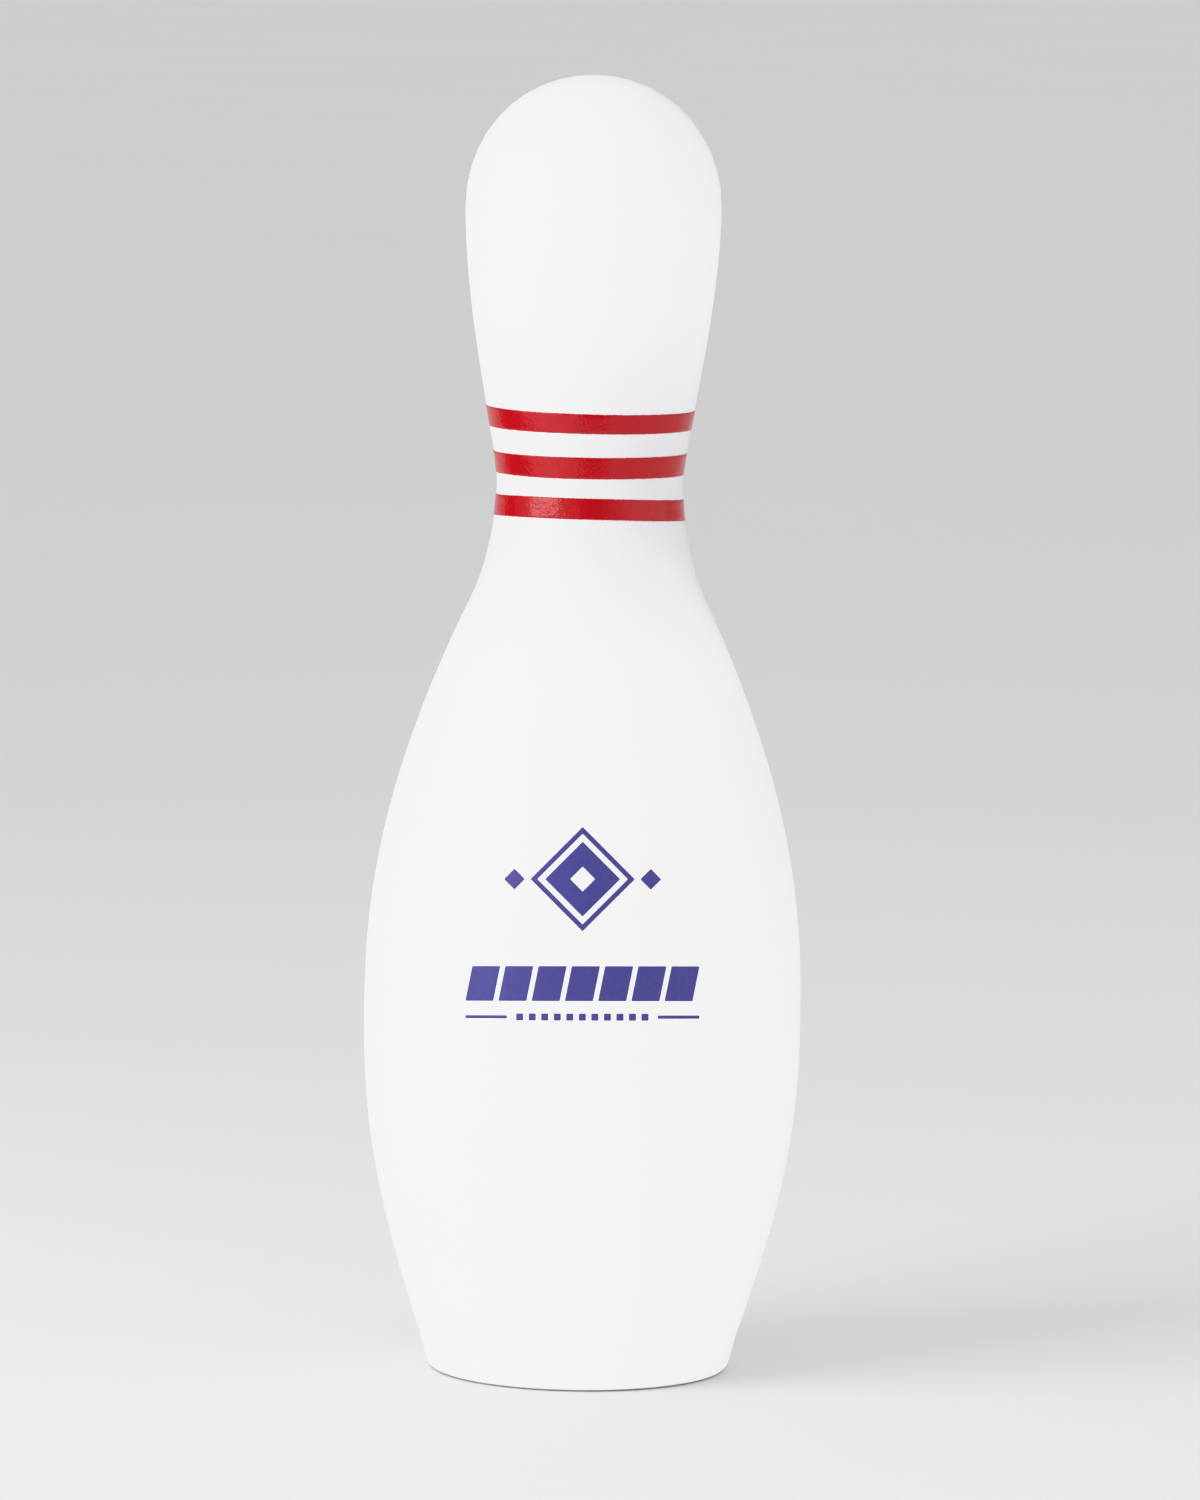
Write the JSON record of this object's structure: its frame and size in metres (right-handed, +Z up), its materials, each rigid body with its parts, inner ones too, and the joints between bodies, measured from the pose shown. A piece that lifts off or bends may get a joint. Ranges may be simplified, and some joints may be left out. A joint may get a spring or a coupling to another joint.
{
  "type": "bowling pin",
  "caption": "Tenpin with a glued maple core, nylon base ring, satin white coat, red neck stripes and a plain one-colour print.",
  "frame": {"origin": "centre of the resting face of the foot", "axes": "+Z up the pin's axis to the crown; -Y is the print side; +X is to the right of a viewer who faces the print"},
  "size_m": [0.1284, 0.1285, 0.381],
  "materials": {
    "maple": "turned and sanded, bare",
    "base_nylon": "satin, moulded",
    "coat_white": "satin white, very fine orange peel",
    "stripe_paint": "satin paint",
    "print_ink": "satin ink"
  },
  "bodies": {
    "root": {"stave_centre": "maple", "stave_left": "maple", "stave_right": "maple", "ply_front_left": "maple", "ply_front_right": "maple", "ply_back_left": "maple", "ply_back_right": "maple", "cheek_front": "maple", "cheek_back": "maple", "base_ring": "base_nylon", "coat": "coat_white", "stripe_upper": "stripe_paint", "stripe_middle": "stripe_paint", "stripe_lower": "stripe_paint", "print_emblem": "print_ink", "print_blocks": "print_ink", "print_rule": "print_ink"}
  },
  "joints": []
}
